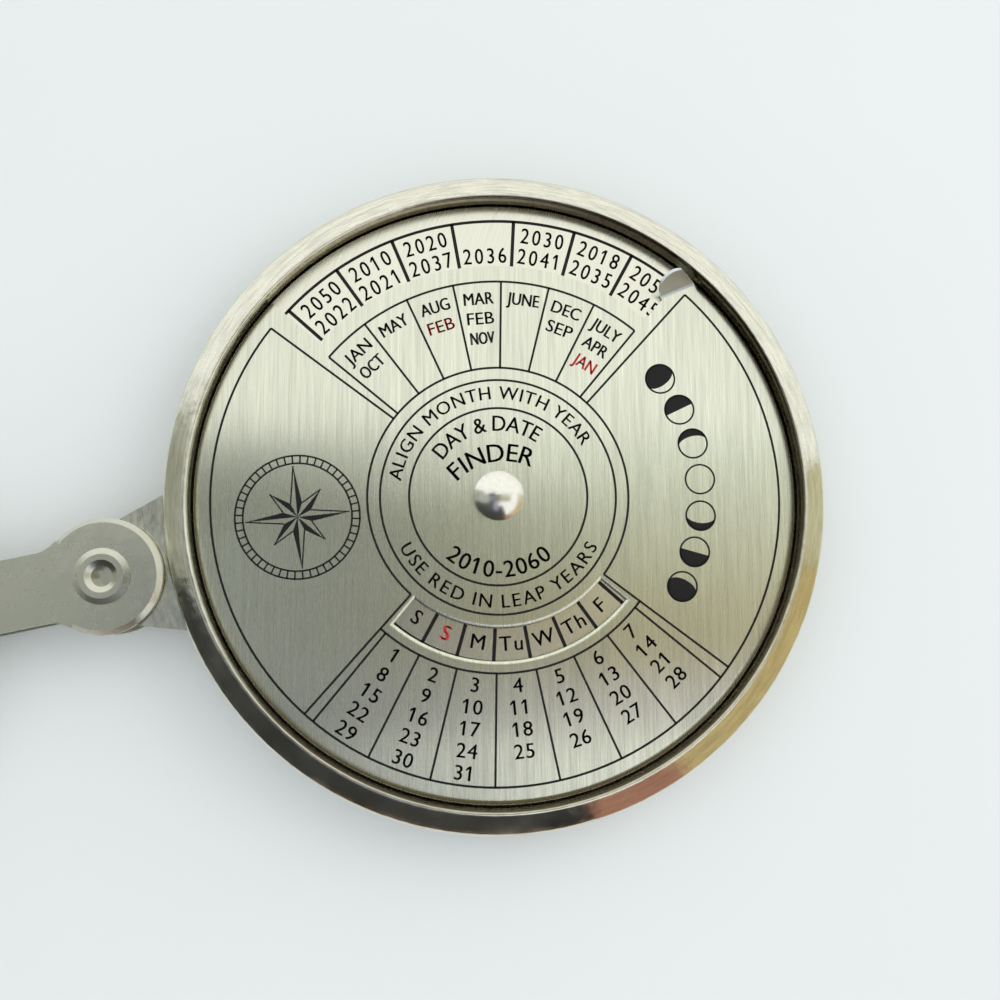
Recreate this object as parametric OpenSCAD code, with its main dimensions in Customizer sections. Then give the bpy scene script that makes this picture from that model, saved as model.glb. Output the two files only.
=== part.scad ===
// Perpetual calendar keyring: a turning dial riveted over a printed year disc in a cast case,
// with a folded strap link and a split ring on the case's lug.
// The back of the case rests on z = 0, the centre rivet stands along +Z and the lug points along -X.

/* [Case] */
// Diameter of the case across its rim
case_d = 42.6; // [38:0.1:60]
// Width of the rim
rim_w = 1.7; // [1.3:0.1:2.6]
// Outward slope of the rim's domed top next to its inner edge
rim_crest_slope = 22; // [10:1:28]
// Outward slope of the rim's domed top next to its outer edge
rim_slope = 34; // [32:1:45]
// Rounding of the rim's outer edge
rim_edge_r = 0.45; // [0.15:0.05:0.6]
// Rounding of the rim's inner edge
rim_lip_r = 0.25; // [0.1:0.05:0.35]
// Thickness of the floor under the year disc
floor_t = 2.35; // [1.8:0.05:3.5]
// Depth of the dial's face below the top of the rim
dial_recess = 1; // [0.7:0.1:1.6]
// Rounding of the case's back edge
back_edge_r = 0.5; // [0.2:0.1:1]

/* [Lug] */
// Distance of the link's pivot from the outside of the rim
lug_out = 3.9; // [3.7:0.1:7]
// Thickness of the lug
lug_t = 2; // [1.4:0.1:2.4]
// Width of the lug where it leaves the rim
lug_root_w = 9; // [7:0.1:12]
// Diameter of the lug's round end
lug_end_d = 5.6; // [4.6:0.1:7]

/* [Year disc] */
// Thickness of the fixed year disc
disc_t = 0.5; // [0.3:0.05:0.8]
// Gap between the year disc's edge and the case
disc_gap = 0.1; // [0.05:0.05:0.4]

/* [Friction washer] */
// Outside diameter of the washer
washer_d = 7; // [4:0.5:12]
// Thickness of the washer
washer_t = 0.1; // [0.06:0.02:0.3]

/* [Dial] */
// Thickness of the dial plate
dial_t = 0.25; // [0.25:0.05:0.6]
// Gap between the dial's edge and the case
dial_gap = 0.2; // [0.15:0.05:0.6]
// Width of the dial's rolled-over upper edge
dial_roll_w = 0.4; // [0.2:0.05:0.8]
// Drop of that edge
dial_roll_h = 0.15; // [0.08:0.01:0.24]
// Bearing of the middle month column at rest, in degrees from +X
dial_set = 84; // [0:1:359]
// Calendar columns in a full turn
columns = 28; // [28]
// Calendar columns that the notch and the window show
columns_shown = 7; // [7]
// Depth of the year notch, in from the dial's edge
notch_depth = 4.1; // [3:0.1:5]
// Angle that the notch falls short of its columns
notch_trim = 0.9; // [0:0.1:4]
// Turn of the notch's middle off the middle month column, towards the tab
notch_turn = 0.9; // [0:0.1:3]
// Radius of the weekday window's inner edge
window_in_r = 8.5; // [7:0.1:10]
// Width of the weekday window, along the radius
window_w = 2.05; // [1.5:0.05:2.5]
// Width of the weekday window's rolled-over upper edges
window_roll_w = 0.3; // [0.15:0.05:0.5]
// Drop of those edges
window_roll_h = 0.12; // [0.08:0.01:0.24]

/* [Tab] */
// Length of the tab's fold line
tab_w = 2.4; // [1.5:0.1:3]
// Length of the tab beyond its fold
tab_l = 1.5; // [1.2:0.1:2.2]
// Angle that the tab is bent up from the dial
tab_bend = 57; // [40:1:85]
// Inside radius of the fold
tab_bend_r = 0.35; // [0.2:0.05:0.6]
// Angle of the fold line off the notch's end
tab_skew = 27.5; // [15:0.5:35]
// Margin between the fold line's outer end and the dial's edge
tab_margin = 0.15; // [0.1:0.05:0.6]
// Radius of the tab's round tip
tab_tip_r = 1.1; // [0.6:0.05:1.2]

/* [Centre rivet] */
// Diameter of the domed head
head_d = 3.2; // [2.6:0.1:5]
// Height of the head's dome
head_dome_h = 0.62; // [0.4:0.02:1]
// Thickness of the head below its dome
head_edge_h = 0.25; // [0.1:0.05:0.4]
// Diameter of the rivet's shank
pin_d = 1.5; // [1:0.1:1.6]
// Diameter of the flush tail at the back
tail_d = 3.2; // [2.4:0.1:5]
// Depth of the tail's countersink
tail_h = 0.9; // [0.5:0.1:1.2]

/* [Link] */
// Distance from the link's pivot to the middle of its eye
link_len = 9; // [8:0.1:14]
// Diameter of the strap's round ends
link_end_d = 7.3; // [6:0.1:7.6]
// Width of the strap's neck
neck_w = 4.4; // [3:0.1:5]
// Thickness of the strap
strap_t = 0.7; // [0.5:0.05:1]
// Bevel round the strap's ends
link_bevel = 0.3; // [0.1:0.05:0.4]
// Radius of the fillets between the neck and the round ends
neck_fillet = 2; // [1:0.1:3]
// Diameter of the link rivet's shank
link_pin_d = 2; // [1.6:0.1:2.6]
// Diameter of the link rivet's heads
link_head_d = 3.5; // [3:0.1:4.5]
// Height of the link rivet's heads
link_head_h = 0.2; // [0.1:0.05:0.3]
// Diameter of the hole down each head of the link rivet
link_hole_d = 1.3; // [0.8:0.1:1.4]
// Depth of that hole
link_hole_h = 0.9; // [0.5:0.1:1.4]

/* [Split ring] */
// Outside diameter of the split ring
ring_d = 25; // [20:0.5:32]
// Width of the ring's flat wire, along the radius
ring_w = 1.4; // [1:0.1:2]
// Thickness of one turn of the ring
turn_t = 0.8; // [0.5:0.05:1]
// Gap between the ring's two turns
turn_space = 0.1; // [0.05:0.05:0.2]
// Arc over which the wire steps from one turn to the other
step_deg = 40; // [30:5:60]

/* [Fits] */
// Radial clearance of a turning fit
turn_gap = 0.05; // [0.02:0.01:0.08]
// Radial clearance of a riveted fit
rivet_gap = 0.02; // [0.01:0.01:0.05]
// Clearance between turning faces
face_gap = 0.04; // [0.02:0.01:0.1]
// Clearance between the rim and the link's round end
link_gap = 0.2; // [0.1:0.05:0.4]
// Clearance between the lug and each cheek of the link
cheek_gap = 0.1; // [0.05:0.05:0.2]
// Play of the split ring in the link's eye
eye_play = 0.12; // [0.08:0.02:0.4]
// Height of the link's eye, and of the ring's far side, above the table
table_gap = 0.08; // [0.05:0.01:0.3]

/* [Hidden] */
$fn = 96;
eps = 0.01;
fillet_steps = 8;
bend_steps = 8;
arc_steps = 8;

// Stack of the case, from the back up
case_r = case_d / 2;
recess_r = case_r - rim_w;
disc_z = floor_t;
washer_z = disc_z + disc_t;
dial_z = washer_z + washer_t + face_gap;
dial_top = dial_z + dial_t;
case_h = dial_top + dial_recess;

// Calendar layout of the dial
disc_r = recess_r - disc_gap;
dial_r = recess_r - dial_gap;
shown_deg = columns_shown * 360 / columns;
notch_deg = shown_deg - notch_trim;
notch_in_r = dial_r - notch_depth;
window_out_r = window_in_r + window_w;

// Centre rivet
pin_r = pin_d / 2;
head_r = head_d / 2;

// Split ring: its wire and the room that its section needs in the eye
ring_t = 2 * turn_t + turn_space;
ring_mid_r = (ring_d - ring_w) / 2;
ring_bow = ring_mid_r - sqrt(pow(ring_mid_r, 2) - pow(neck_w / 2, 2));
ring_reach = norm([ring_w, ring_t]) / 2 + ring_bow;

// Link: the eye clears the ring and the table, and the lug lies at the eye's height
cheek_in = lug_t / 2 + cheek_gap;
cheek_out = cheek_in + strap_t;
eye_r = max(ring_reach + eye_play, cheek_in);
eye_out_r = eye_r + strap_t;
link_z = eye_out_r + table_gap;
link_end_r = min(link_end_d / 2, lug_out - link_gap);
link_pin_r = link_pin_d / 2;
pivot_x = case_r + lug_out;
ring_tilt = asin((link_z - table_gap - ring_t / 2) / (2 * ring_mid_r + ring_w / 2));

function at(r, a) = [r * cos(a), r * sin(a)];

// Points of an arc, with or without its first point
function arc_points(centre, r, from, to, first = 0) =
  [for (i = [first:arc_steps]) centre + at(r, from + (to - from) * i / arc_steps)];

// Points of a rolled edge: part of an oval that is wider than it is high
function roll_points(centre, w, h, from, to) =
  [for (p = arc_points([0, 0], 1, from, to)) centre + [w * p.x, h * p.y]];

// Half of the case's section: dish, rim whose domed top falls away outwards, and rounded back edge
module case_section() {
  dome_end = 90 - rim_slope;
  dome_start = 90 - rim_crest_slope;
  lip = [recess_r + rim_lip_r, case_h - rim_lip_r];
  crest = lip + at(rim_lip_r, dome_start);
  dome_r = (case_r - crest.x - rim_edge_r * (1 - cos(dome_end))) / (cos(dome_end) - cos(dome_start));
  dome = crest - at(dome_r, dome_start);
  edge = dome + at(dome_r - rim_edge_r, dome_end);
  polygon(concat(
    [[0, 0]],
    arc_points([case_r - back_edge_r, back_edge_r], back_edge_r, -90, 0),
    arc_points(edge, rim_edge_r, 0, dome_end),
    arc_points(dome, dome_r, dome_end, dome_start, 1),
    arc_points(lip, rim_lip_r, dome_start, 180, 1),
    [[recess_r, floor_t], [0, floor_t]]));
}

// Lug outline, pointing along +X: straight flanks that run tangent into the round end
module lug_outline() {
  root = [case_r - rim_w / 2, lug_root_w / 2];
  end = [pivot_x, 0];
  end_r = lug_end_d / 2;
  span = norm(end - root);
  flank = atan2(end.y - root.y, end.x - root.x) + asin(end_r / span);
  foot = root + at(sqrt(pow(span, 2) - pow(end_r, 2)), flank);
  translate(end) circle(end_r);
  polygon([root, foot, end, [foot.x, -foot.y], [root.x, -root.y]]);
}

// Flush tail of the centre rivet, grown by a clearance to cut its seat
module rivet_tail(grow = 0) {
  cylinder(h = tail_h, r1 = tail_d / 2 + grow, r2 = pin_r + grow);
}

module case() {
  color("silver")
  difference() {
    union() {
      rotate_extrude() case_section();
      rotate(180) translate([0, 0, link_z - lug_t / 2]) linear_extrude(lug_t) lug_outline();
    }
    translate([0, 0, -eps]) cylinder(h = floor_t + 2 * eps, r = pin_r + rivet_gap);
    translate([0, 0, -eps]) rivet_tail(rivet_gap);
    translate([-pivot_x, 0, 0]) cylinder(h = case_h, r = link_pin_r + turn_gap);
  }
}

// Flat ring with a bore for the centre rivet
module flat_ring(r, t, bore_r) {
  linear_extrude(t)
  difference() {
    circle(r);
    circle(bore_r);
  }
}

module year_disc() {
  color("gainsboro") translate([0, 0, disc_z]) flat_ring(disc_r, disc_t, pin_r + rivet_gap);
}

module friction_washer() {
  color("dimgray") translate([0, 0, washer_z]) flat_ring(washer_d / 2, washer_t, pin_r + rivet_gap);
}

// The tab's fold line runs from the notch's end out to the dial's edge, turned off the radius by tab_skew
fold_out_r = dial_r - tab_margin;
notch_end = -notch_deg / 2 - notch_turn;
fold_in_r = sqrt(pow(fold_out_r, 2) - pow(tab_w * sin(tab_skew), 2)) - tab_w * cos(tab_skew);
fold_in = at(fold_in_r, notch_end);
fold_dir = notch_end - tab_skew;
fold_relief = tab_bend_r / 5;
relief_in = at(fold_in_r - fold_relief / sin(tab_skew), notch_end);

// Year notch, drawn with the middle month column along +X; beside the tab it is relieved behind the fold line
module notch_outline() {
  far = 2 * dial_r;
  difference() {
    union() {
      polygon([[0, 0], for (i = [0:4]) at(far, notch_end + i * notch_deg / 4)]);
      polygon([relief_in, relief_in + at(far, fold_dir), at(far, notch_end)]);
    }
    circle(notch_in_r);
  }
}

// Block on the window's side of one of its ends, along +X; its edge is rolled over at the dial's face
module window_end() {
  w = 0.85 * window_roll_w;
  h = 0.85 * window_roll_h;
  far = 2 * window_out_r;
  translate([-far, 0, dial_t])
  rotate([90, 0, 90])
  linear_extrude(2 * far)
  polygon(concat([[0, -2 * dial_t]], roll_points([-w, -h], w, h, 0, 90),
                 [[-w, dial_t], [far, dial_t], [far, -2 * dial_t]]));
}

// Weekday window cutter along +X: an arc slot whose edges are rolled over at the dial's face
module window_cutter() {
  outer = window_out_r + window_roll_w;
  inner = window_in_r - window_roll_w;
  roll_z = dial_t - window_roll_h;
  intersection() {
    rotate_extrude()
    polygon(concat([[window_in_r, -eps], [window_out_r, -eps]],
                   roll_points([outer, roll_z], window_roll_w, window_roll_h, 180, 90),
                   [[outer, dial_t + eps], [inner, dial_t + eps]],
                   roll_points([inner, roll_z], window_roll_w, window_roll_h, 90, 0)));
    rotate(-shown_deg / 2) window_end();
    rotate(shown_deg / 2) mirror([0, 1, 0]) window_end();
  }
}

// Side view of the tab: a foot that lies in the plate, the bend and the straight tongue
module tab_side() {
  bend_at = [0, dial_t + tab_bend_r];
  reach = at(tab_l, tab_bend);
  outer = [for (i = [0:bend_steps]) bend_at + at(tab_bend_r + dial_t, tab_bend * i / bend_steps - 90)];
  inner = [for (i = [bend_steps:-1:0]) bend_at + at(tab_bend_r, tab_bend * i / bend_steps - 90)];
  polygon(concat([[-tab_bend_r, 0]], outer, [outer[bend_steps] + reach, inner[0] + reach], inner,
                 [[-tab_bend_r, dial_t]]));
}

// Outline of the tongue in its own plane, round at the tip and no wider than the dial that it was cut from
module tab_outline() {
  unrolled = PI / 180 * tab_bend * (tab_bend_r + dial_t / 2);
  straight = tab_l - tab_tip_r;
  intersection() {
    union() {
      translate([-tab_w, straight - 4 * tab_l]) square([3 * tab_w, 4 * tab_l]);
      translate([tab_tip_r, straight]) circle(tab_tip_r);
    }
    translate(at(fold_in_r, 180 + tab_skew) - [0, unrolled]) circle(dial_r);
  }
}

// Tab in its own frame: fold line along +X, tongue towards +Y and up
module tab() {
  intersection() {
    rotate([90, 0, 90]) linear_extrude(tab_w) tab_side();
    translate([0, 0, dial_t + tab_bend_r])
    rotate([tab_bend, 0, 0])
    linear_extrude(8 * tab_l, center = true) tab_outline();
  }
}

// Half section of the dial plate, rolled over along its upper edge
module dial_section() {
  bore_r = pin_r + turn_gap;
  polygon(concat([[bore_r, 0], [dial_r, 0]],
                 roll_points([dial_r - dial_roll_w, dial_t - dial_roll_h], dial_roll_w, dial_roll_h, 0, 90),
                 [[bore_r, dial_t]]));
}

module dial() {
  color("lightgray")
  translate([0, 0, dial_z])
  rotate(dial_set) {
    difference() {
      rotate_extrude() dial_section();
      translate([0, 0, -eps]) linear_extrude(dial_t + 2 * eps) notch_outline();
      rotate(180) window_cutter();
    }
    translate(fold_in) rotate(fold_dir) tab();
  }
}

module centre_rivet() {
  seat_z = dial_top + face_gap;
  head_h = head_edge_h + head_dome_h;
  dome_r = (pow(head_r, 2) + pow(head_dome_h, 2)) / (2 * head_dome_h);
  color("white") {
    intersection() {
      translate([0, 0, seat_z]) cylinder(h = 2 * head_h, r = head_r);
      translate([0, 0, seat_z + head_h - dome_r]) sphere(dome_r);
    }
    cylinder(h = seat_z + eps, r = pin_r);
    rivet_tail();
  }
}

// Points of the fillet between a bar along +X and a round of radius r at the origin, from the bar inwards
function fillet_arc(r, half_w, fillet) =
  let (x = sqrt(pow(r + fillet, 2) - pow(half_w + fillet, 2)), sweep = 90 - atan2(half_w + fillet, x))
  [for (i = [0:fillet_steps]) [x, half_w + fillet] + at(fillet, -90 - sweep * i / fillet_steps)];

// Bar along +X from a round of radius r, with the two fillets that join them; the round itself is left out
module bar_from_round(r, half_w, reach, fillet) {
  upper = concat([[reach, half_w]], fillet_arc(r, half_w, fillet));
  lower = [for (i = [len(upper) - 1:-1:0]) [upper[i].x, -upper[i].y]];
  polygon(concat(upper, [[0, 0]], lower));
}

// Side view of the folded strap: two cheeks over the lug, pinched together where they leave the eye
module strap_side() {
  cheek_len = link_len + link_end_r;
  translate([link_len, 0])
  difference() {
    union() {
      circle(eye_out_r);
      translate([-cheek_len, -cheek_out]) square([cheek_len, 2 * cheek_out]);
    }
    circle(eye_r);
    translate([-cheek_len - eps, -cheek_in]) square([cheek_len, 2 * cheek_in]);
  }
}

// Half section of the strap's round ends, bevelled along their outer edges
module strap_end_section() {
  polygon([[0, -cheek_out], [link_end_r - link_bevel, -cheek_out], [link_end_r, link_bevel - cheek_out],
           [link_end_r, cheek_out - link_bevel], [link_end_r - link_bevel, cheek_out], [0, cheek_out]]);
}

// Places a piece of the link: pivot at the origin, eye along +X, lug's middle plane at z = 0
module on_link() {
  rotate(180) translate([pivot_x, 0, link_z]) children();
}

module link_strap() {
  color("silver")
  on_link()
  difference() {
    intersection() {
      rotate([90, 0, 0]) linear_extrude(2 * link_end_d, center = true) strap_side();
      union() {
        rotate_extrude() strap_end_section();
        linear_extrude(2 * eye_out_r + 1, center = true)
        bar_from_round(link_end_r, neck_w / 2, link_len + eye_out_r + 1, neck_fillet);
      }
    }
    cylinder(h = 2 * cheek_out + 1, r = link_pin_r + rivet_gap, center = true);
  }
}

// Section of the link rivet: shank, a rolled head at each end and the dished hole down each head
module link_rivet_section() {
  cap_r = link_head_d / 2;
  hole_r = link_hole_d / 2;
  head_top = cheek_out + link_head_h;
  lip = (cap_r - hole_r) / 3;
  upper = [[link_pin_r, cheek_out], [cap_r, cheek_out], [cap_r, head_top - link_head_h / 2],
           [cap_r - lip, head_top], [hole_r + lip, head_top], [hole_r, head_top - link_head_h],
           [hole_r, head_top - link_hole_h], [0, head_top - link_hole_h]];
  lower = [for (i = [len(upper) - 1:-1:0]) [upper[i].x, -upper[i].y]];
  polygon(concat(upper, lower));
}

module link_rivet() {
  color("gainsboro") on_link() rotate_extrude() link_rivet_section();
}

// Split ring wire: two turns joined by one step, swept with an eight-sided section
ring_corner = turn_t / 4;
ring_section = [for (side = [[1, -1], [1, 1], [-1, 1], [-1, -1]], k = [0, 1])
  let (square_x = side.x * ring_w / 2, square_y = side.y * turn_t / 2,
       along = (side.x * side.y > 0) == (k == 0))
  [square_x - (along ? 0 : side.x * ring_corner), square_y - (along ? side.y * ring_corner : 0)]];
ring_from = step_deg / 2 - 360;
ring_stations = 114;

// Height of the wire's middle: one turn down, a smooth step, one turn up
function ring_rise(a) =
  let (s = min(max(a / step_deg + 0.5, 0), 1))
  (turn_t + turn_space) * (s * s * (3 - 2 * s) - 0.5);

function ring_point(i, p) =
  let (a = ring_from - 2 * ring_from * i / ring_stations, flat = at(ring_mid_r + p.x, a + 90))
  [flat.x, flat.y, ring_rise(a) + p.y];

module ring_wire() {
  sides = len(ring_section);
  points = [for (i = [0:ring_stations], p = ring_section) ring_point(i, p)];
  function corner(i, k) = i * sides + k % sides;
  walls = [for (i = [0:ring_stations - 1], k = [0:sides - 1], half = [0, 1])
    half == 0 ? [corner(i, k), corner(i + 1, k + 1), corner(i + 1, k)]
              : [corner(i, k), corner(i, k + 1), corner(i + 1, k + 1)]];
  ends = [for (k = [1:sides - 2], i = [0, ring_stations])
    i == 0 ? [corner(i, 0), corner(i, k + 1), corner(i, k)] : [corner(i, 0), corner(i, k), corner(i, k + 1)]];
  polyhedron(points, concat(walls, ends));
}

module split_ring() {
  color("lightsteelblue")
  on_link()
  translate([link_len, 0, 0])
  rotate([0, ring_tilt, 0])
  translate([ring_mid_r, 0, 0])
  ring_wire();
}

case();
year_disc();
friction_washer();
dial();
centre_rivet();
link_strap();
link_rivet();
split_ring();
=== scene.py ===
"""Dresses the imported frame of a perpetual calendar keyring: metal finishes, printing, stage and camera."""

import math

import bmesh
import bpy
from bpy.props import FloatProperty, FloatVectorProperty, PointerProperty
from mathutils import Matrix, Vector


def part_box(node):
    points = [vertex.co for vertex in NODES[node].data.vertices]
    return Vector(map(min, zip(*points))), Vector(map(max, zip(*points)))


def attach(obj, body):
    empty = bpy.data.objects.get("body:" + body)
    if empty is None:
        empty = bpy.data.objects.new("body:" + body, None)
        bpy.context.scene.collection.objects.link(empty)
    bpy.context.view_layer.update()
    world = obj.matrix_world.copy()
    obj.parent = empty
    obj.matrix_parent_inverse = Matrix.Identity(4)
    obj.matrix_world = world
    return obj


bl_info = {
    "name": "Perpetual Calendar Keyring",
    "version": (1, 0, 0),
    "blender": (4, 5, 0),
    "location": "View3D > Sidebar > Keyring",
    "description": "Finishes, printing, stage and camera for a perpetual calendar keyring",
    "category": "Object",
}

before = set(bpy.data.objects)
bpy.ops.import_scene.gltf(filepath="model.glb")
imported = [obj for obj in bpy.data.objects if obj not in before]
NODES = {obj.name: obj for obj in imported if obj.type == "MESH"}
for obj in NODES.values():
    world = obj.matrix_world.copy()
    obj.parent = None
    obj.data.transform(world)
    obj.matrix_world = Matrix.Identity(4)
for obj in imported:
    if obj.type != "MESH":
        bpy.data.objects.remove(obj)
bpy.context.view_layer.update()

MM = 0.001
COLUMN = math.radians(360 / 28)
DIAL_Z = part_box("dial")[0].z
DISC_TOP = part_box("year_disc")[1].z

# Calendar: month columns from left to right, and the two rows of years in the seven columns shown at rest
MONTHS = (
    ("JAN", "OCT"),
    ("MAY",),
    ("AUG", "*FEB"),
    ("MAR", "FEB", "NOV"),
    ("JUNE",),
    ("DEC", "SEP"),
    ("JULY", "APR", "*JAN"),
)
SHOWN_YEARS = (
    (2050, 2022),
    (2010, 2021),
    (2020, 2037),
    (None, 2036),
    (2030, 2041),
    (2018, 2035),
    (2051, 2045),
)
FIRST_YEAR, LAST_YEAR = 2010, 2060
WEEKDAYS = ("S", "*S", "M", "Tu", "W", "Th", "F")

# Lettering: the built-in font's capital height at size 1, the room of a space between capitals one unit high,
# and how far each kind's strokes are thickened
CAP_HEIGHT = 0.682
SPACE_ROOM = 0.42
MONTH_WEIGHT = LEGEND_WEIGHT = 0.018
DATE_WEIGHT = YEAR_WEIGHT = 0.016
WEEKDAY_WEIGHT, RED_WEEKDAY_WEIGHT = 0.02, 0.06

# Rows of months and dates from their arcs, shares of a column that names of three and four letters fill,
# and the legends' bearing off the dial's middle column and distance off the middle of their band
MONTH_DROP, MONTH_STEP = 1.12 * MM, 1.33 * MM
DATE_DROP = 0.8 * MM
SHORT_SHARE, LONG_SHARE = 0.66, 0.71
LEGEND_LEAN = math.radians(5.5)
LEGEND_LIFT = 0.08 * MM

# Year disc: borders of years and weekdays, inner ends of their dividers, and rows of lettering
YEAR_BORDER_R, WEEK_BORDER_R = 18.5 * MM, 10.62 * MM
YEAR_BORDER_W, WEEK_BORDER_W = 0.19 * MM, 0.16 * MM
YEAR_DIVIDER_R, WEEK_DIVIDER_R = 14.6 * MM, 7.9 * MM
YEAR_ROWS_R = 17.54 * MM, 16.12 * MM
WEEKDAY_R = 9.44 * MM

# Metal: tarnish with painted shade in the case's groove, the finger tab worn and lit with a painted
# highlight, and the depth of waves and brushing
# Brown of tarnish in the groove, darkened further as painted shade
TARNISH_AND_SHADE = (0.13, 0.105, 0.06)
# Tone of the worn finger tab, lightened as a painted highlight
BARE_STEEL_SHEEN = (0.90, 0.95, 1.0)
SKIN_DEPTH = 0.02 * MM

# Height of the level cards over the floor, in millimetres, and the tone that a fading card ends in
CARD_Z = 76
CARD_WHITE = (1.0, 0.99, 0.92)


# Settings


def length(name, description, default_mm):
    """A length property, given in millimetres."""
    return FloatProperty(
        name=name, description=description, default=default_mm * MM, unit="LENGTH", precision=6
    )


def turn(name, description, default_deg):
    """An angle property, given in degrees."""
    return FloatProperty(
        name=name, description=description, default=math.radians(default_deg), unit="ROTATION"
    )


def paint(name, description, default):
    """A colour property."""
    return FloatVectorProperty(
        name=name, description=description, default=default, subtype="COLOR", size=3, min=0, max=1
    )


def level(name, description, default):
    """A plain number property."""
    return FloatProperty(name=name, description=description, default=default, min=0, max=10)


class KeyringPrint(bpy.types.PropertyGroup):
    """Sizes of the printing on the dial and the year disc"""

    ink_t: length("Ink Thickness", "Height of the ink above the plate", 0.012)
    ink_sink: length("Ink Sink", "Depth of the ink in the plate's brushing", 0.004)
    plate_t: length("Dial Thickness", "Thickness of the dial plate under the ink", 0.25)
    fine_line: length("Fine Line", "Width of the dial's lines", 0.14)
    bold_line: length("Bold Line", "Width of the year disc's dividers", 0.23)
    dial_axis: turn("Dial Axis", "Bearing of the dial's middle month column", 83.85)
    disc_axis: turn("Disc Axis", "Bearing of the year disc's middle column", 81.9)
    disc_shift: length("Disc Shift", "How far the year disc's printing lies off its middle", 0.18)
    disc_shift_dir: turn("Shift Bearing", "Bearing of that shift", -11.65)
    border_r: length("Border Radius", "Radius of the border round the dial", 18.35)
    month_r: length("Month Radius", "Radius of the arc above the months", 14.23)
    date_r: length("Date Radius", "Radius of the arc above the dates", 11.3)
    hub_r: length("Hub Radius", "Radius of the circle below the months", 8.43)
    legend_out_r: length("Legend Outer Radius", "Radius of the circle round the legend", 7.61)
    legend_in_r: length("Legend Inner Radius", "Radius of the circle inside the legend", 5.75)
    month_h: length("Month Height", "Height of the month names", 0.8)
    date_h: length("Date Height", "Height of the dates", 0.9)
    date_pitch: length("Date Pitch", "Distance between the figures of a date", 0.71)
    date_step: length("Date Step", "Distance between the rows of dates", 1.37)
    year_h: length("Year Height", "Height of the years", 1.03)
    year_pitch: length("Year Pitch", "Distance between the figures of a year", 0.775)
    weekday_h: length("Weekday Height", "Height of the weekday letters", 0.92)
    legend_h: length("Legend Height", "Height of the legend's letters", 0.83)
    black: paint("Black Ink", "Colour of the black printing", (0.008, 0.008, 0.008))
    red: paint("Red Ink", "Colour of the red printing", (0.47, 0.045, 0.045))


class KeyringMetal(bpy.types.PropertyGroup):
    """Colours of the metal finishes"""

    nickel: paint("Nickel", "Polished nickel plate of the case", (0.84, 0.83, 0.70))
    steel: paint("Dial Steel", "Brushed steel of the dial", (0.765, 0.785, 0.635))
    disc_steel: paint("Disc Steel", "Paler brushed steel of the year disc", (0.83, 0.82, 0.685))
    rivet: paint("Rivet", "Polished head of the centre rivet", (0.90, 0.89, 0.79))
    link: paint("Link", "Tumbled nickel plate of the link", (0.66, 0.66, 0.55))
    ring: paint("Ring", "Spring steel of the split ring", (0.72, 0.71, 0.66))
    brush_dir: turn("Brushing", "Bearing of the dial's brushing", 78.35)


class KeyringStage(bpy.types.PropertyGroup):
    """Floor, light and camera"""

    floor: paint("Floor", "Colour of the table", (0.71, 0.745, 0.738))
    dome: level("Dome", "Strength of the studio's pale surroundings", 1.04)
    key_power: level("Key Power", "Power of the soft light at the upper right, in watts", 0.9)
    view_turn: turn("View Bearing", "Bearing of the picture's right-hand side", -11.65)
    camera_at: FloatVectorProperty(
        name="Camera",
        description="Place of the camera",
        default=(-0.004495, -0.006302, 0.06724),
        subtype="TRANSLATION",
    )
    lens: FloatProperty(
        name="Lens", description="Focal length in millimetres, on a 36 mm frame", default=36.0
    )


# Materials


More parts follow.
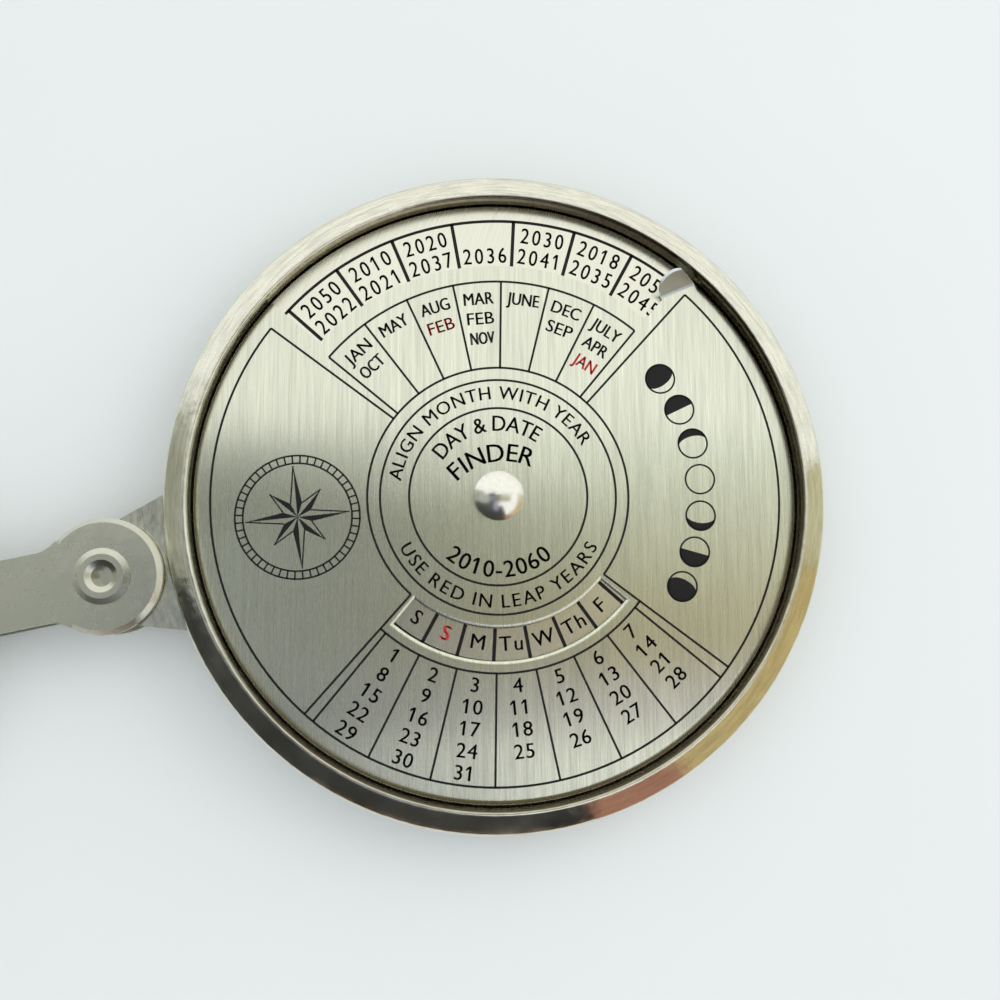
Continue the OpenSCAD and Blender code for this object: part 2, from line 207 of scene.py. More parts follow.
class Finish:
    """A procedural material with one principled shader, and short ways to add nodes to it."""

    def __init__(self, name, **sockets):
        self.material = bpy.data.materials.new(name)
        self.material.use_nodes = True
        self.nodes = self.material.node_tree.nodes
        self.links = self.material.node_tree.links
        self.shader = next(n for n in self.nodes if n.type == "BSDF_PRINCIPLED")
        for socket, value in sockets.items():
            self.shader.inputs[socket.replace("_", " ")].default_value = value

    def node(self, kind, **settings):
        made = self.nodes.new("ShaderNode" + kind)
        for key, value in settings.items():
            setattr(made, key, value)
        return made

    def link(self, source, target):
        self.links.new(source, target)

    def fill(self, socket, value):
        """Links a made value to a socket, or sets a plain one."""
        if isinstance(value, bpy.types.NodeSocket):
            self.link(value, socket)
        else:
            socket.default_value = value

    def feed(self, **sockets):
        """Links made values to the shader."""
        for socket, value in sockets.items():
            self.link(value, self.shader.inputs[socket.replace("_", " ")])

    def maths(self, operation, *values):
        """A number worked out from made values and plain numbers."""
        made = self.node("Math", operation=operation)
        for socket, value in zip(made.inputs, values):
            self.fill(socket, value)
        return made.outputs[0]

    def vector(self, operation, *values, out="Vector"):
        """A vector, or its measure, worked out from made values and plain vectors."""
        made = self.node("VectorMath", operation=operation)
        for socket, value in zip(made.inputs, values):
            self.fill(socket, value)
        return made.outputs[out]

    def coords(self, scale=(1, 1, 1), turned=0.0):
        """Object coordinates, turned about Z and scaled."""
        where = self.node("TexCoord")
        spun = self.node("VectorRotate", rotation_type="Z_AXIS")
        spun.inputs["Angle"].default_value = -turned
        self.link(where.outputs["Object"], spun.inputs["Vector"])
        return self.vector("MULTIPLY", spun.outputs["Vector"], scale)

    def cells(self, size):
        """Coordinates in which noise has cells of a size."""
        return self.coords((1 / size,) * 3)

    def split(self, where):
        """Coordinates, one by one."""
        made = self.node("SeparateXYZ")
        self.link(where, made.inputs["Vector"])
        return made.outputs

    def height(self):
        """Object coordinate along Z."""
        return self.split(self.coords())["Z"]

    def reach(self):
        """Distance from the Z axis."""
        return self.vector("LENGTH", self.coords((1, 1, 0)), out="Value")

    def outward(self):
        """Direction away from the Z axis."""
        return self.vector("NORMALIZE", self.coords((1, 1, 0)))

    def rings(self, across, around):
        """Coordinates in which noise runs in streaks round the Z axis, by their width and their count."""
        lift = self.node("CombineXYZ")
        self.link(self.maths("DIVIDE", self.reach(), across), lift.inputs["Z"])
        spread = self.vector("MULTIPLY", self.outward(), (around,) * 3)
        return self.vector("ADD", spread, lift.outputs["Vector"])

    def noise(self, where, detail=3.0, rough=0.55):
        made = self.node("TexNoise")
        made.inputs["Scale"].default_value = 1.0
        made.inputs["Detail"].default_value = detail
        made.inputs["Roughness"].default_value = rough
        self.link(where, made.inputs["Vector"])
        return made.outputs["Fac"]

    def ranged(self, value, low, high, from_low=0.0, from_high=1.0):
        """The value stretched from one range to another."""
        made = self.node("MapRange")
        sockets = ("From Min", "From Max", "To Min", "To Max")
        for socket, number in zip(sockets, (from_low, from_high, low, high)):
            made.inputs[socket].default_value = number
        self.link(value, made.inputs["Value"])
        return made.outputs["Result"]

    def mixed(self, fac, first, second):
        """A colour between two others; the first may be a made one."""
        made = self.node("Mix", data_type="RGBA")
        self.link(fac, made.inputs["Factor"])
        plain = isinstance(first, tuple)
        self.fill(made.inputs[6], (*first, 1) if plain else first)
        made.inputs[7].default_value = (*second, 1)
        return made.outputs[2]

    def tarnished(self, tone, low, high, radius, lit_bearing):
        """The tone, browned by tarnish and painted shade inside a radius below two heights; round a bearing
        the lip is left bright as a painted reflection.
        """
        soft_edge, lip_foot, lip_top = 0.05 * MM, low - 0.65 * MM, low - 0.35 * MM
        inside = self.ranged(self.reach(), 1.0, 0.0, radius, radius + soft_edge)
        height = self.height()
        below = self.ranged(height, 1.0, 0.0, low, high)
        deep = self.ranged(height, 1.0, 0.0, lip_foot, lip_top)
        # Round the lit bearing the lip's tarnish is left off: a painted reflection where the lip catches
        # bright surroundings
        bearing = (math.cos(lit_bearing), math.sin(lit_bearing), 0)
        near = self.vector("DOT_PRODUCT", self.outward(), bearing, out="Value")
        left = self.maths("MAXIMUM", self.ranged(near, 1.0, 0.1, 0.2, 0.75), deep)
        tarnish_and_shade_mask = self.maths("MULTIPLY", self.maths("MULTIPLY", inside, below), left)
        return self.mixed(tarnish_and_shade_mask, tone, TARNISH_AND_SHADE)

    def bump(self, height, strength, distance):
        made = self.node("Bump")
        made.inputs["Strength"].default_value = strength
        made.inputs["Distance"].default_value = distance
        self.link(height, made.inputs["Height"])
        self.feed(Normal=made.outputs["Normal"])


def shade(colour, factor):
    """The colour made lighter or darker."""
    return tuple(min(1.0, c * factor) for c in colour)


def brushed(name, colour, direction, contrast=0.12, rough=(0.27, 0.36), spread=0.7, bare=None):
    """Straight brushed steel: fine streaks in colour, gloss and height, with highlights spread across them.

    Above the two heights of a bare zone the steel is worn by fingers and lightened as a painted highlight.
    """
    finish = Finish(name, Metallic=1.0, Anisotropic=spread)
    along, across = 1 / (2.6 * MM), 1 / (0.045 * MM)
    fine = finish.noise(finish.coords((along, across, along), direction), detail=2.0)
    wide = finish.noise(finish.coords((along / 3, across / 5, along), direction), detail=3.0)
    both = finish.maths("MULTIPLY_ADD", wide, 0.5, finish.ranged(fine, 0.0, 0.5))
    streak = finish.ranged(both, 0.0, 1.0, 0.3, 0.7)
    tone = finish.mixed(streak, shade(colour, 1 - contrast), shade(colour, 1 + contrast))
    gloss = finish.ranged(streak, rough[1], rough[0])
    # Worn by fingers, and lightened towards bluish white as a painted highlight
    if bare:
        worn = finish.ranged(finish.height(), 0.0, 1.0, *bare)
        tone = finish.mixed(worn, tone, BARE_STEEL_SHEEN)
        gloss = finish.maths("MULTIPLY_ADD", worn, 0.2, gloss)
    axis = finish.node("CombineXYZ")
    axis.inputs["X"].default_value = -math.sin(direction)
    axis.inputs["Y"].default_value = math.cos(direction)
    world = finish.node("VectorTransform", vector_type="VECTOR", convert_from="OBJECT", convert_to="WORLD")
    finish.link(axis.outputs["Vector"], world.inputs["Vector"])
    finish.feed(Base_Color=tone, Roughness=gloss, Tangent=world.outputs["Vector"])
    finish.bump(both, 0.28, SKIN_DEPTH)
    return finish.material


def plated(name, colour, rough, grain_mm, grain, wear=0.10, ripple=2.2, shade_streaks=0.0, groove=None):
    """Polished plate over a casting or stamping: cloudy gloss, wavy skin, fine grain and small worn specks.

    It may be darkened in streaks round the Z axis, painted shade for the rim's reflected shading, and
    tarnished with painted shade in a groove:
    below two heights, within a radius, with a bearing where its lip is left bright as a painted reflection.
    """
    finish = Finish(name, Metallic=1.0)
    cloud = finish.noise(finish.cells(2.5 * MM), detail=4.0)
    speck = finish.noise(finish.cells(grain_mm * MM), detail=3.0, rough=0.65)
    wave = finish.noise(finish.cells(0.9 * MM), detail=1.0)
    worn = finish.ranged(speck, 0.0, 1.0, 0.35, 0.75)
    tone = finish.mixed(worn, shade(colour, 1 + wear / 2), shade(colour, 1 - wear))
    # Painted shade: darker streaks round the Z axis stand in for the rim's reflected shading
    if shade_streaks:
        streak = finish.noise(finish.rings(0.2 * MM, 11.0), detail=5.0, rough=0.65)
        tone = finish.mixed(finish.ranged(streak, 0.0, shade_streaks, 0.4, 0.7), tone, shade(colour, 0.45))
    if groove:
        tone = finish.tarnished(tone, *groove)
    finish.feed(Base_Color=tone, Roughness=finish.ranged(cloud, rough[0], rough[1], 0.3, 0.7))
    finish.bump(finish.maths("MULTIPLY_ADD", wave, ripple, speck), grain, SKIN_DEPTH)
    return finish.material


def ink(name, colour):
    """Screen-printed ink: nearly even, with faint pinholes and an eggshell gloss."""
    finish = Finish(name, Specular_IOR_Level=0.25)
    grain = finish.noise(finish.cells(0.09 * MM), detail=2.0)
    tone = finish.mixed(grain, shade(colour, 0.8), shade(colour, 1.3))
    finish.feed(Base_Color=tone, Roughness=finish.ranged(grain, 0.5, 0.65))
    finish.bump(grain, 0.15, 0.01 * MM)
    return finish.material


def dress(node, material):
    """Gives a CAD node its finish."""
    slots = NODES[node].data.materials
    slots.clear()
    slots.append(material)


# Printing


def unit_word(text, spacing=1.0):
    """Mesh of a word in the built-in font, with capitals one unit high, centred on its own box."""
    curve = bpy.data.curves.new("word", "FONT")
    curve.body = text
    curve.size = 1 / CAP_HEIGHT
    curve.space_character = spacing
    curve.extrude = 0.5
    curve.resolution_u = 3
    holder = bpy.data.objects.new("word", curve)
    mesh = bpy.data.meshes.new_from_object(holder)
    bpy.data.objects.remove(holder)
    bpy.data.curves.remove(curve)
    xs = [v.co.x for v in mesh.vertices]
    low, high = min(xs), max(xs)
    mesh.transform(Matrix.Translation((-(low + high) / 2, -0.5, 0.5)))
    return mesh, high - low


def glyph(sign):
    """Mesh of one letter or figure; the font's bare 1 is given its flag."""
    mesh, width = unit_word(sign)
    if sign == "1":
        stem = -width / 2
        flag = ((stem, 0.5), (stem - 0.2, 0.3), (stem - 0.2, 0.17), (stem, 0.33))
        bm = bmesh.new()
        bm.from_mesh(mesh)
        feet = [bm.verts.new((*point, 0)) for point in flag]
        tops = [bm.verts.new((*point, 1)) for point in flag]
        bm.faces.new(feet[::-1])
        bm.faces.new(tops)
        for i in range(len(flag)):
            k = (i + 1) % len(flag)
            bm.faces.new((feet[i], feet[k], tops[k], tops[i]))
        bm.to_mesh(mesh)
        bm.free()
    return mesh


def advance(letter):
    """Room that a letter takes in a line, with capitals one unit high."""
    if letter == " ":
        return SPACE_ROOM
    widths = []
    for text in (f"H{letter}H", "HH"):
        mesh, width = unit_word(text)
        bpy.data.meshes.remove(mesh)
        widths.append(width)
    return widths[0] - widths[1]


def heading(bearing):
    """Unit vector along a bearing."""
    return Vector((math.cos(bearing), math.sin(bearing)))


class Ink:
    """Printing in one colour on one plate, drawn about a printed axis and gathered in one mesh."""

    def __init__(self, settings, z, axis, centre=(0.0, 0.0)):
        self.bm = bmesh.new()
        self.low, self.high = -settings.ink_sink, settings.ink_t
        self.place = Matrix.Translation((*centre, z)) @ Matrix.Rotation(axis, 4, "Z")

    def strip(self, left, right, closed=False):
        """A flat band between two lines of points."""
        rows = []
        for a, b in zip(left, right):
            corners = ((*a, self.low), (*b, self.low), (*b, self.high), (*a, self.high))
            rows.append([self.bm.verts.new(self.place @ Vector(c)) for c in corners])
        last = len(rows) if closed else len(rows) - 1
        for i in range(last):
            here, there = rows[i], rows[(i + 1) % len(rows)]
            for k in range(4):
                self.bm.faces.new((here[k], here[(k + 1) % 4], there[(k + 1) % 4], there[k]))
        if not closed:
            self.bm.faces.new(rows[0][::-1])
            self.bm.faces.new(rows[-1])

    def arc(self, r, width, start=None, end=None, centre=(0.0, 0.0)):
        """A round line, whole or between two bearings."""
        closed = start is None
        start, end = (0.0, 2 * math.pi) if closed else (start, end)
        steps = max(3, math.ceil((end - start) / math.radians(2)))
        count = steps if closed else steps + 1
        turns = [start + (end - start) * i / steps for i in range(count)]
        edge = [
            [(centre[0] + q * math.cos(a), centre[1] + q * math.sin(a)) for a in turns]
            for q in (r - width / 2, r + width / 2)
        ]
        self.strip(*edge, closed=closed)

    def line(self, a, b, width):
        """A straight line between two points."""
        a, b = Vector(a), Vector(b)
        side = (b - a).normalized().orthogonal() * width / 2
        self.strip([a + side, b + side], [a - side, b - side])

    def ray(self, bearing, r_in, r_out, width):
        """A straight line along a radius."""
        way = heading(bearing)
        self.line(way * r_in, way * r_out, width)

    def patch(self, outline):
        """A filled shape."""
        tops = [self.bm.verts.new(self.place @ Vector((*p, self.high))) for p in outline]
        feet = [self.bm.verts.new(self.place @ Vector((*p, self.low))) for p in outline]
        self.bm.faces.new(tops)
        self.bm.faces.new(feet[::-1])
        for i in range(len(tops)):
            k = (i + 1) % len(tops)
            self.bm.faces.new((tops[k], tops[i], feet[i], feet[k]))

    def stamp(self, mesh, wide, height, r, bearing, inward=False, weight=0.0, along=0.0):
        """Prints a mesh of lettering at a radius and a bearing, standing outward or inward, and frees it.

        The weight thickens the strokes by printing the mesh twice, that far apart either way.
        """
        quarter = math.pi / 2
        spin = bearing + quarter if inward else bearing - quarter
        place = Matrix.Rotation(spin, 4, "Z") @ Matrix.Translation((along, -r if inward else r, self.low))
        mesh.transform(Matrix.Diagonal((wide, height, self.high - self.low, 1)))
        for side in (-1, 1) if weight else (0,):
            copy = mesh.copy()
            copy.transform(self.place @ place @ Matrix.Translation((side * weight * height, 0, 0)))
            self.bm.from_mesh(copy)
            bpy.data.meshes.remove(copy)
        bpy.data.meshes.remove(mesh)

    def word(self, text, r, bearing, height, width=None, inward=False, spacing=1.0, weight=0.0):
        """A word whose middle lies at a radius and a bearing; set to a width, it keeps even strokes."""
        mesh, natural = unit_word(text, spacing)
        wide = height
        if width:
            # Strokes thin as a word is squeezed, so its weight makes up for that
            wide = width / natural
            weight = max(0.004, weight + 0.06 * (1.1 - wide / height))
        self.stamp(mesh, wide, height, r, bearing, inward, weight)

    def number(self, figures, r, bearing, height, pitch, inward=False, squeeze=1.0, weight=0.0):
        """A number whose middle lies at a radius and a bearing, with its figures at an even pitch."""
        for i, figure in enumerate(figures):
            along = (i - (len(figures) - 1) / 2) * pitch
            self.stamp(glyph(figure), height * squeeze, height, r, bearing, inward, weight, along)

    def legend(self, text, r, bearing, height, sweep, inward=False, weight=0.0, drop=0.0):
        """Words round an arc, each letter on its own radius; the arc's centre may drop below the print's."""
        rooms = [advance(c) for c in text]
        total, gone, kept = sum(rooms), 0.0, self.place
        squeeze = min(1.0, sweep * r / total / height)
        self.place = kept @ Matrix.Rotation(bearing, 4, "Z") @ Matrix.Translation((-drop, 0, 0))
        for letter, room in zip(text, rooms):
            share = (gone + room / 2) / total - 0.5
            gone += room
            if letter != " ":
                where = (share if inward else -share) * sweep
                self.stamp(glyph(letter), height * squeeze, height, r, where, inward, weight)
        self.place = kept

    def piece(self, name, body, material, slot):
        """Turns the printing into an object that rides on a body."""
        bmesh.ops.remove_doubles(self.bm, verts=self.bm.verts, dist=1e-7)
        bmesh.ops.recalc_face_normals(self.bm, faces=self.bm.faces)
        mesh = bpy.data.meshes.new(name)
        self.bm.to_mesh(mesh)
        self.bm.free()
        mesh.materials.append(material)
        made = bpy.data.objects.new(name, mesh)
        bpy.context.scene.collection.objects.link(made)
        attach(made, body)


def inks():
    """The black and the red ink, made once."""
    settings = bpy.context.scene.keyring_print
    return [
        bpy.data.materials.get(name) or ink(name, colour)
        for name, colour in (("ink_black", settings.black), ("ink_red", settings.red))
    ]


def year_class(year):
    """Weekday column of a year: that of its first of January, or in a leap year one day later."""
    leap = year % 4 == 0
    before = year - 1
    new_year = (year + before // 4 - before // 100 + before // 400) % 7
    return (new_year + 1) % 7 if leap else new_year


def year_columns():
    """The 28 columns of years, clockwise from the notch's left end, as pairs of outer and inner year."""
    columns = list(SHOWN_YEARS)
    shown = {year for pair in SHOWN_YEARS for year in pair}
    first = year_class(SHOWN_YEARS[0][1])
    waiting = {k: [] for k in range(7)}
    for year in range(FIRST_YEAR, LAST_YEAR + 1):
        if year not in shown:
            waiting[year_class(year)].append(year)
    for k in range(7, 28):
        column = waiting[(first - k) % 7]
        outer = column.pop(0) if column else None
        inner = column.pop(0) if column else None
        columns.append((outer, inner))
    return columns


# Operators


class KEYRING_OT_stage(bpy.types.Operator):
    """Lays the floor, hangs the lights and shading cards, and sets the camera"""

    bl_idname = "keyring.stage"
    bl_label = "Stage"

    def execute(self, context):
        settings = context.scene.keyring_stage
        self.turned = settings.view_turn
        self.right = Vector((math.cos(self.turned), math.sin(self.turned), 0))
        self.up = Vector((-self.right.y, self.right.x, 0))
        self.floor(settings)
        self.dome(context, settings)
        self.key(settings)
        self.cards()
        self.walls()
        self.camera(context, settings)
        context.scene.view_settings.view_transform = "Standard"
        return {"FINISHED"}

    def at(self, right, up, z):
        """A point given in millimetres along the picture's right, its top and the height."""
        return (self.right * right + self.up * up + Vector((0, 0, z))) * MM

    def plane(self, name, centre, across, along, material):
        """A rectangle with its middle and half sides given."""
        corners = [centre + across * i + along * j for i, j in ((-1, -1), (1, -1), (1, 1), (-1, 1))]
        mesh = bpy.data.meshes.new(name)
        mesh.from_pydata(corners, [], [(0, 1, 2, 3)])
        if material:
            mesh.materials.append(material)
        made = bpy.data.objects.new(name, mesh)
        bpy.context.scene.collection.objects.link(made)
        return made

    def floor(self, settings):
        """Pale table."""
        finish = Finish("table", Roughness=0.75, Specular_IOR_Level=0.2)
        blotch = finish.noise(finish.cells(30 * MM), detail=3.0)
        tone = finish.mixed(blotch, shade(settings.floor, 0.985), shade(settings.floor, 1.015))
        finish.feed(Base_Color=tone)
        half = Vector((1.5, 0, 0)), Vector((0, 1.5, 0))
        self.plane("floor", Vector((0, 0, -0.01 * MM)), *half, finish.material)

    def dome(self, context, settings):
        """Pale surroundings, a little cooler towards the picture's foot."""
        world = context.scene.world or bpy.data.worlds.new("studio")
        context.scene.world = world
        world.use_nodes = True
        nodes, links = world.node_tree.nodes, world.node_tree.links
        sky = next(n for n in nodes if n.type == "BACKGROUND")
        where = nodes.new("ShaderNodeTexCoord")
        towards = nodes.new("ShaderNodeVectorMath")
        towards.operation = "DOT_PRODUCT"
        towards.inputs[1].default_value = (self.right * 0.3 + self.up).normalized()
        ramp = nodes.new("ShaderNodeValToRGB")
        ramp.color_ramp.elements[0].color = (0.93, 0.96, 1.0, 1)
        ramp.color_ramp.elements[1].color = (1.0, 1.0, 0.985, 1)
        spread = nodes.new("ShaderNodeMapRange")
        spread.inputs["From Min"].default_value = -1.0
        links.new(where.outputs["Generated"], towards.inputs[0])
        links.new(towards.outputs["Value"], spread.inputs["Value"])
        links.new(spread.outputs["Result"], ramp.inputs["Fac"])
        links.new(ramp.outputs["Color"], sky.inputs["Color"])
        sky.inputs["Strength"].default_value = settings.dome

    def key(self, settings):
        """Soft light at the upper right."""
        lamp = bpy.data.lights.new("key", "AREA")
        lamp.shape, lamp.size, lamp.energy = "DISK", 0.4, settings.key_power
        lamp.color = (1.0, 0.99, 0.96)
        made = bpy.data.objects.new("key", lamp)
        bpy.context.scene.collection.objects.link(made)
        made.location = self.at(380, 180, 190)
        made.rotation_mode = "QUATERNION"
        made.rotation_quaternion = made.location.to_track_quat("Z", "Y")
        made.visible_camera = made.visible_glossy = False

    def shading(self, card, colour, fade=None):
        """Finishes a card that shows only as a reflection in the metal; it may fade between two lines."""
        finish = Finish(card.name, Roughness=0.9)
        cloth = finish.noise(finish.cells(10 * MM))
        tone = finish.mixed(cloth, shade(colour, 0.9), shade(colour, 1.1))
        if fade:
            up = finish.split(finish.coords(turned=self.turned))["Y"]
            tone = finish.mixed(finish.ranged(up, 0.0, 1.0, *fade), tone, CARD_WHITE)
        finish.feed(Base_Color=tone)
        card.data.materials.clear()
        card.data.materials.append(finish.material)
        card.visible_camera = card.visible_diffuse = card.visible_shadow = False

    def cards(self):
        """Level cards above the camera: left and right, low and high sides, colour, lines of any fade."""
        plan = (
            ("card_edge", (-41, -11), (4, 16), (0.02, 0.021, 0.024), None),
            ("card_dark", (-41, -11), (-19.5, 4), (0.236, 0.246, 0.312), None),
            ("card_dark_low", (-41, -11), (-27.5, -19.5), (0.075, 0.073, 0.105), None),
            ("card_pale", (-11, 6), (-16.5, 8), (0.21, 0.19, 0.13), None),
            ("card_pale_low", (-11, 6), (-24.5, -16.5), (0.29, 0.28, 0.325), None),
            ("card_warm", (6, 62), (-16.5, 16), (0.51, 0.415, 0.255), (-10 * MM, 14 * MM)),
            ("card_warm_low", (6, 62), (-24.5, -16.5), (0.755, 0.66, 0.735), None),
            ("card_low", (-24, 0), (-75, -27.5), (0.375, 0.36, 0.49), None),
            ("card_low_dark", (-70, -24), (-75, -27.5), (0.06, 0.055, 0.05), None),
            ("card_left", (-150, -41), (-34, 14.5), (0.52, 0.52, 0.50), None),
        )
        for name, (left, right), (low, high), colour, fade in plan:
            centre = self.at((left + right) / 2, (low + high) / 2, CARD_Z)
            across, along = self.right * (right - left) / 2 * MM, self.up * (high - low) / 2 * MM
            self.shading(self.plane(name, centre, across, along, None), colour, fade)

    def walls(self):
        """Standing cards for the rim and the rivet to mirror: two bearings, distance, top and colour."""
        plan = (
            ("wall_grey", 158, 190, 200, 200, (0.32, 0.32, 0.27)),
            ("wall_dark", 190, 294, 200, 330, (0.010, 0.010, 0.010)),
            ("wall_brown", 236, 294, 190, 24, (0.36, 0.20, 0.14)),
            ("wall_red", 288, 306, 32, 17, (0.44, 0.20, 0.145)),
            ("wall_gold", 306, 350, 32, 17, (0.66, 0.51, 0.25)),
            ("wall_cream", 350, 368, 32, 17, (0.72, 0.67, 0.48)),
        )
        for name, start, end, out, top, colour in plan:
            steps = math.ceil((end - start) / 6)
            corners, faces = [], []
            for i in range(steps + 1):
                a = math.radians(start + (end - start) * i / steps)
                foot = out * math.cos(a), out * math.sin(a)
                corners += [self.at(*foot, 0.5), self.at(*foot, top)]
            for i in range(steps):
                faces.append((2 * i, 2 * i + 2, 2 * i + 3, 2 * i + 1))
            mesh = bpy.data.meshes.new(name)
            mesh.from_pydata(corners, [], faces)
            wall = bpy.data.objects.new(name, mesh)
            bpy.context.scene.collection.objects.link(wall)
            self.shading(wall, colour)

    def camera(self, context, settings):
        """Camera close above the keyring, with its axes given by rows."""
        lens = bpy.data.cameras.new("camera")
        lens.sensor_width, lens.lens = 36.0, settings.lens
        lens.clip_start, lens.clip_end = 0.002, 10.0
        made = bpy.data.objects.new("camera", lens)
        context.scene.collection.objects.link(made)
        axes = Matrix(
            ((0.97711, 0.20079, -0.07025), (-0.20686, 0.97386, -0.09351), (0.04964, 0.1059, 0.9931))
        )
        made.rotation_mode = "QUATERNION"
        made.rotation_quaternion = axes.to_quaternion()
        made.location = settings.camera_at
        context.scene.camera = made


class KEYRING_OT_finishes(bpy.types.Operator):
    """Gives each metal piece its finish"""

    bl_idname = "keyring.finishes"
    bl_label = "Metal Finishes"

    def execute(self, context):
        metal = context.scene.keyring_metal
        face = DIAL_Z + context.scene.keyring_print.plate_t
        # The groove is tarnished and darkened with painted shade; round the lit bearing the lip stays bright
        # as a painted reflection
        lip_r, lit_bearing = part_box("year_disc")[1].x + 0.28 * MM, math.radians(135)
        groove = face + 0.93 * MM, face + 0.99 * MM, lip_r, lit_bearing
        # The finger tab above the dial's face is worn and lightened as a painted highlight
        bare = face + 0.004 * MM, face + 0.012 * MM
        # The case's streaks are painted shade for the rim's reflected shading
        case = {"ripple": 5.0, "shade_streaks": 0.5, "groove": groove}
        dress("case", plated("cast_nickel", metal.nickel, (0.10, 0.24), 0.10, 0.25, **case))
        brush = metal.brush_dir
        dress("dial", brushed("brushed_plate", metal.steel, brush, 0.19, (0.23, 0.31), 0.9, bare))
        dress("year_disc", brushed("printed_plate", metal.disc_steel, brush - 0.3, 0.06, (0.2, 0.3)))
        dress("friction_washer", plated("washer_steel", shade(metal.ring, 0.75), (0.3, 0.4), 0.15, 0.2))
        dress("centre_rivet", plated("rivet_chrome", metal.rivet, (0.19, 0.27), 0.25, 0.2, 0.06))
        link = plated("link_nickel", metal.link, (0.22, 0.34), 0.08, 0.35)
        dress("link_strap", link)
        dress("link_rivet", link)
        dress("split_ring", plated("ring_steel", metal.ring, (0.08, 0.18), 0.2, 0.1))
        return {"FINISHED"}


class KEYRING_OT_dial_lines(bpy.types.Operator):
    """Prints the dial's circles, sector lines, and month and date grids"""

    bl_idname = "keyring.dial_lines"
    bl_label = "Dial Lines"

    def execute(self, context):
        s = context.scene.keyring_print
        black, _ = inks()
        sheet = Ink(s, DIAL_Z + s.plate_t, s.dial_axis)
        top_left, top_right, lean_right = math.radians(47.9), math.radians(-49.0), math.radians(-48.3)
        low_left, low_right = math.radians(180 - 47.2), math.radians(180 + 47.6)
        sheet.arc(s.legend_in_r, s.fine_line)
        sheet.arc(s.legend_out_r, s.fine_line)
        sheet.arc(s.hub_r, s.fine_line, low_right - 2 * math.pi, low_left)
        sheet.arc(s.border_r, s.fine_line, top_left, lean_right + 2 * math.pi)
        for bearing in (top_left, low_left, low_right):
            sheet.ray(bearing, s.hub_r, s.border_r, s.fine_line)
        sheet.line(heading(top_right) * s.hub_r, heading(lean_right) * s.border_r, s.fine_line)
        half = 3.5 * COLUMN
        sheet.arc(s.month_r, s.fine_line, -half, half)
        sheet.arc(s.date_r, s.fine_line, low_left, low_right)
        for k in range(8):
            bearing = (k - 3.5) * COLUMN
            sheet.ray(bearing, s.hub_r, s.month_r, s.fine_line)
            sheet.ray(bearing + math.pi, s.date_r, s.border_r, s.fine_line)
        sheet.piece("dial_lines", "dial_body", black, "brushed_plate")
        return {"FINISHED"}


class KEYRING_OT_dial_letters(bpy.types.Operator):
    """Prints the months, dates and legends on the dial"""

    bl_idname = "keyring.dial_letters"
    bl_label = "Dial Letters"

    def execute(self, context):
        s = context.scene.keyring_print
        z = DIAL_Z + s.plate_t
        sheets = [Ink(s, z, s.dial_axis), Ink(s, z, s.dial_axis)]
        for column, names in enumerate(MONTHS):
            bearing = (3 - column) * COLUMN
            for row, name in enumerate(names):
                text = name.strip("*")
                r = s.month_r - MONTH_DROP - MONTH_STEP * row
                share = SHORT_SHARE if len(text) == 3 else LONG_SHARE
                width = share * COLUMN * r
                sheets["*" in name].word(text, r, bearing, s.month_h, width, weight=MONTH_WEIGHT)
        for day in range(1, 32):
            column, row = (day - 1) % 7, (day - 1) // 7
            bearing = math.pi + (column - 3) * COLUMN
            r = s.date_r + DATE_DROP + row * s.date_step
            sheets[0].number(str(day), r, bearing, s.date_h, s.date_pitch, inward=True, weight=DATE_WEIGHT)
        middle = (s.legend_in_r + s.legend_out_r) / 2 + LEGEND_LIFT
        # Words, radius, height, sweep in degrees, whether they stand inward, and how far the centre drops
        legends = (
            ("ALIGN MONTH WITH YEAR", middle, s.legend_h, 141, False, 0.0),
            ("USE RED IN LEAP YEARS", middle, s.legend_h, 127, True, 0.0),
            ("DAY & DATE", 4.75 * MM, 1.0 * MM, 92, False, 0.0),
            ("FINDER", 4.6 * MM, 1.15 * MM, 74, False, 1.8 * MM),
            (f"{FIRST_YEAR}-{LAST_YEAR}", 4.72 * MM, 1.05 * MM, 84, True, 0.0),
        )
        for text, r, height, sweep, inward, drop in legends:
            bearing = math.pi - LEGEND_LEAN if inward else LEGEND_LEAN
            sheets[0].legend(text, r, bearing, height, math.radians(sweep), inward, LEGEND_WEIGHT, drop)
        for sheet, name, material in zip(sheets, ("dial_letters", "dial_red_letters"), inks()):
            sheet.piece(name, "dial_body", material, "brushed_plate")
        return {"FINISHED"}


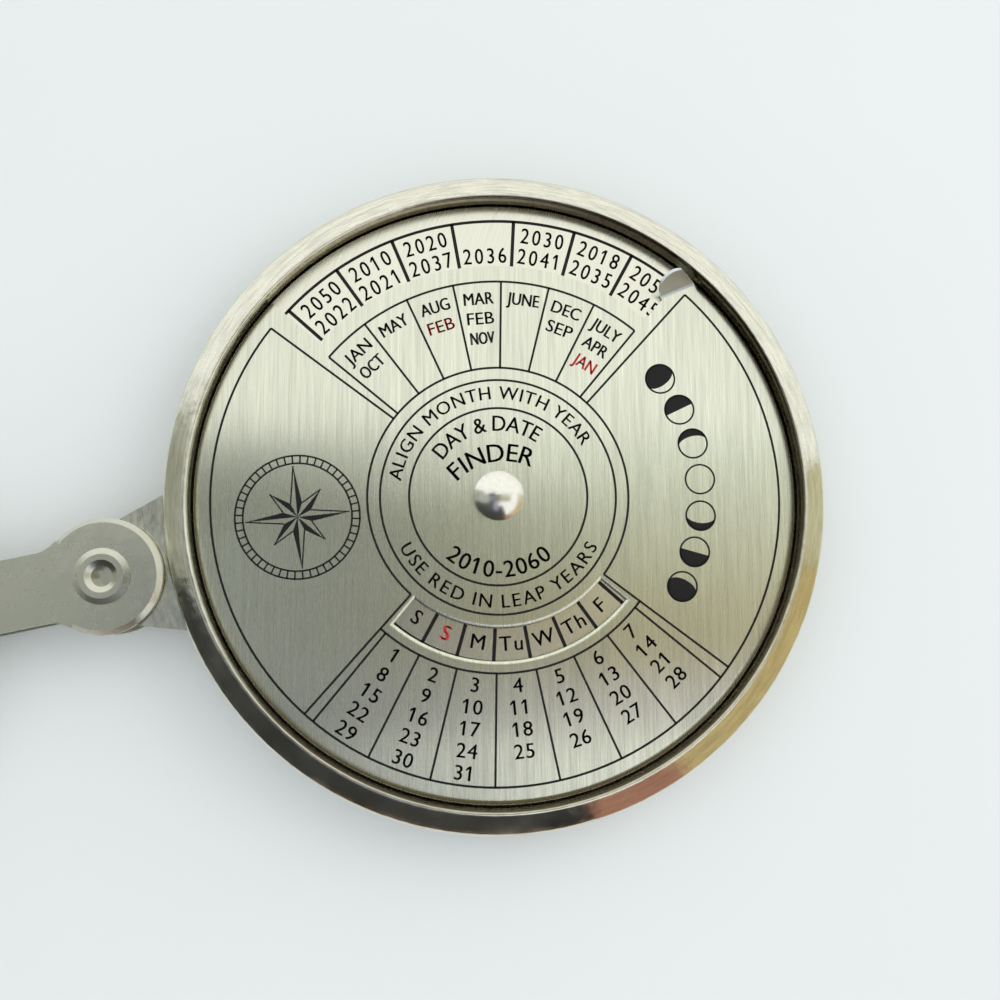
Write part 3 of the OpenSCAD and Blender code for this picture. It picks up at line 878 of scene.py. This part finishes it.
class KEYRING_OT_disc_print(bpy.types.Operator):
    """Prints the year columns and the weekday ring on the fixed disc"""

    bl_idname = "keyring.disc_print"
    bl_label = "Year Disc Print"

    def execute(self, context):
        s = context.scene.keyring_print
        shift = s.disc_shift * math.cos(s.disc_shift_dir), s.disc_shift * math.sin(s.disc_shift_dir)
        sheets = [Ink(s, DISC_TOP, s.disc_axis, shift) for _ in range(3)]
        lines, black, red = sheets
        lines.arc(YEAR_BORDER_R, YEAR_BORDER_W)
        lines.arc(WEEK_BORDER_R, WEEK_BORDER_W)
        for k in range(28):
            edge = (k + 0.5) * COLUMN
            lines.ray(edge, YEAR_DIVIDER_R, YEAR_BORDER_R, s.bold_line)
            lines.ray(edge, WEEK_DIVIDER_R, WEEK_BORDER_R, s.bold_line)
        narrow = {"squeeze": 0.8, "weight": YEAR_WEIGHT}
        for k, pair in enumerate(year_columns()):
            for year, r in zip(pair, YEAR_ROWS_R):
                if year:
                    black.number(str(year), r, (3 - k) * COLUMN, s.year_h, s.year_pitch, **narrow)
        for k in range(28):
            letter = WEEKDAYS[k % 7]
            sheet, weight = (red, RED_WEEKDAY_WEIGHT) if "*" in letter else (black, WEEKDAY_WEIGHT)
            inward = {"inward": True, "spacing": 1.15, "weight": weight}
            sheet.word(letter.strip("*"), WEEKDAY_R, math.pi + (k - 3) * COLUMN, s.weekday_h, **inward)
        names = ("disc_lines", "disc_letters", "disc_red_letters")
        black_ink, red_ink = inks()
        for sheet, name, material in zip(sheets, names, (black_ink, black_ink, red_ink)):
            sheet.piece(name, "case_body", material, "printed_plate")
        return {"FINISHED"}


class KEYRING_OT_ornaments(bpy.types.Operator):
    """Prints a compass rose and a row of moon phases in the dial's side sectors"""

    bl_idname = "keyring.ornaments"
    bl_label = "Dial Ornaments"

    def execute(self, context):
        s = context.scene.keyring_print
        z = DIAL_Z + s.plate_t
        self.rose(s, Ink(s, z, s.dial_axis + math.radians(90.5)))
        self.moons(s, Ink(s, z, s.dial_axis - math.radians(90.7)))
        return {"FINISHED"}

    def rose(self, s, sheet):
        """Compass rose, half filled, inside a ring of ticks."""
        middle = Vector((12.9 * MM, 0))
        ring_in, ring_out = 3.45 * MM, 3.95 * MM
        long_tip, short_tip, waist_r = 3.3 * MM, 2.3 * MM, 0.95 * MM
        for r in (ring_out, ring_in):
            sheet.arc(r, 0.8 * s.fine_line, centre=middle)
        for k in range(48):
            way = heading(k * math.pi / 24)
            sheet.line(middle + way * ring_in, middle + way * ring_out, 0.7 * s.fine_line)
        for k in range(8):
            bearing = k * math.pi / 4
            tip = middle + heading(bearing) * (short_tip if k % 2 else long_tip)
            filled = middle + heading(bearing - math.pi / 8) * waist_r
            drawn = middle + heading(bearing + math.pi / 8) * waist_r
            sheet.patch([middle, filled, tip])
            sheet.line(drawn, tip, 0.6 * s.fine_line)
        sheet.piece("compass_rose", "dial_body", inks()[0], "brushed_plate")

    def moons(self, s, sheet):
        """Moon phases along an arc, from the thin crescent to the full disc and back."""
        r, size = 13.2 * MM, 0.95 * MM
        for k, lit in enumerate((0.25, 0.5, 0.75, 1.0, 0.75, 0.5, 0.25)):
            bearing = (k - 3) * math.radians(10.4)
            middle = heading(bearing) * r
            sheet.arc(size, 0.8 * s.fine_line, centre=middle)
            if lit == 1.0:
                continue
            side = -1 if k < 3 else 1
            steps = 16
            limb, shadow = [], []
            for i in range(steps + 1):
                a = math.pi * (i / steps - 0.5)
                limb.append((size * math.cos(a), size * math.sin(a)))
                shadow.append((size * math.cos(a) * (2 * lit - 1), size * math.sin(a)))
            spin = Matrix.Rotation(bearing + side * math.pi / 2, 2)
            sheet.patch([middle + spin @ Vector(p) for p in limb + shadow[-2:0:-1]])
        sheet.piece("moon_phases", "dial_body", inks()[0], "brushed_plate")


class KEYRING_PT_panel(bpy.types.Panel):
    """Lists the steps that dress the keyring"""

    bl_idname = "KEYRING_PT_panel"
    bl_label = "Keyring"
    bl_space_type = "VIEW_3D"
    bl_region_type = "UI"
    bl_category = "Keyring"

    def draw(self, context):
        for step in STEPS:
            self.layout.operator(step.bl_idname)
        for group in GROUPS:
            settings = getattr(context.scene, group)
            for key in settings.bl_rna.properties.keys():
                if key not in ("rna_type", "name"):
                    self.layout.prop(settings, key)


STEPS = (
    KEYRING_OT_stage,
    KEYRING_OT_finishes,
    KEYRING_OT_dial_lines,
    KEYRING_OT_dial_letters,
    KEYRING_OT_disc_print,
    KEYRING_OT_ornaments,
)
GROUPS = {"keyring_print": KeyringPrint, "keyring_metal": KeyringMetal, "keyring_stage": KeyringStage}
CLASSES = (*GROUPS.values(), *STEPS, KEYRING_PT_panel)


def register():
    for made in CLASSES:
        bpy.utils.register_class(made)
    for key, group in GROUPS.items():
        setattr(bpy.types.Scene, key, PointerProperty(type=group))


def unregister():
    for key in GROUPS:
        delattr(bpy.types.Scene, key)
    for made in reversed(CLASSES):
        bpy.utils.unregister_class(made)


def main():
    register()
    for step in STEPS:
        family, name = step.bl_idname.split(".")
        getattr(getattr(bpy.ops, family), name)()


if __name__ == "__main__":
    main()
